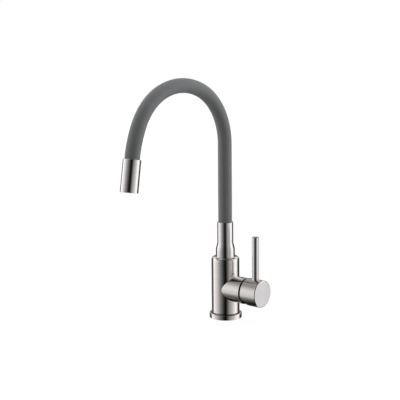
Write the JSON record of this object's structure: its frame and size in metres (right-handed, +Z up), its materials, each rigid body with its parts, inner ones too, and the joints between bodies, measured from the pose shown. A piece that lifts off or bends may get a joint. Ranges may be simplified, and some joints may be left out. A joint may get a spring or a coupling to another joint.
{
  "type": "mixer tap",
  "caption": "Single-lever mixer tap: round column, side handle with an upright pin lever, and a tall arched spout in a soft sleeve that swivels and bends.",
  "frame": {"origin": "centre of the base ring's underside, on the worktop, on the column's axis", "axes": "+Z up the column; +X along the handle, away from the column; -Y from the column towards the outlet"},
  "size_m": [0.1071, 0.2729, 0.412],
  "materials": {
    "satin_steel": "fine satin brushing round each turned face",
    "handle_steel": "fine satin brushing round the cap, flat front face",
    "silicone": "smooth matt grey silicone",
    "seal_rubber": "black moulded rubber",
    "cartridge_plastic": "moulded engineering plastic",
    "aerator_plastic": "moulded plastic honeycomb",
    "ceramic": "lapped ceramic",
    "brass": "turned brass",
    "spring_steel": "bright drawn steel",
    "hose_rubber": "extruded hose"
  },
  "bodies": {
    "tap_body": {"column": "satin_steel", "base_ring": "satin_steel", "base_gasket": "seal_rubber", "slip_washer": "cartridge_plastic", "snap_ring": "spring_steel", "cartridge_case": "cartridge_plastic", "port_seals": "seal_rubber", "cartridge_nut": "brass", "fixed_disc": "ceramic", "dome_shroud": "satin_steel"},
    "cartridge_stem": {"lever_carrier": "cartridge_plastic", "carrier_seal": "seal_rubber", "pivot_pin": "spring_steel"},
    "disc_slider": {"moving_disc": "ceramic", "disc_coupler": "cartridge_plastic"},
    "handle": {"lever_spindle": "spring_steel", "handle_cap": "handle_steel", "lever_pin": "handle_steel", "grub_screw": "spring_steel", "grub_plug": "handle_steel"},
    "spout": {"spout_neck": "satin_steel", "spout_o_rings": "seal_rubber", "neck_coupling": "brass", "neck_ferrule": "spring_steel", "silicone_sleeve": "silicone", "formable_core": "spring_steel", "inner_hose": "hose_rubber"},
    "outlet": {"outlet_housing": "satin_steel", "outlet_coupling": "brass", "outlet_ferrule": "spring_steel", "outlet_gasket": "seal_rubber", "aerator_shell": "satin_steel", "jet_plate": "aerator_plastic", "aerator_screen": "spring_steel", "flow_straightener": "aerator_plastic"}
  },
  "joints": [
    {"name": "spout_swivel", "type": "hinge", "parent": "tap_body", "child": "spout", "pos_m": [0, 0, 0.105], "axis": [0, 0, 1], "continuous": true},
    {"name": "spout_flex", "type": "hinge", "parent": "spout", "child": "outlet", "pos_m": [0, -0.111, 0.364], "axis": [1, 0, 0], "range_deg": [-20, 20], "deforming": ["silicone_sleeve", "formable_core", "inner_hose"]},
    {"name": "temperature_turn", "type": "hinge", "parent": "tap_body", "child": "cartridge_stem", "pos_m": [0.0573, 0, 0.0518], "axis": [1, 0, 0], "range_deg": [-45, 45]},
    {"name": "flow_tilt", "type": "hinge", "parent": "cartridge_stem", "child": "handle", "pos_m": [0.0573, 0, 0.0518], "axis": [0, 1, 0], "range_deg": [0, 25]},
    {"name": "disc_slide", "type": "slide", "parent": "cartridge_stem", "child": "disc_slider", "axis": [0, 0, 1], "range_m": [0, 0.0044]}
  ],
  "couplings": [
    {"joint": "disc_slide", "follows": "flow_tilt", "m_per_rad": 0.0098}
  ]
}
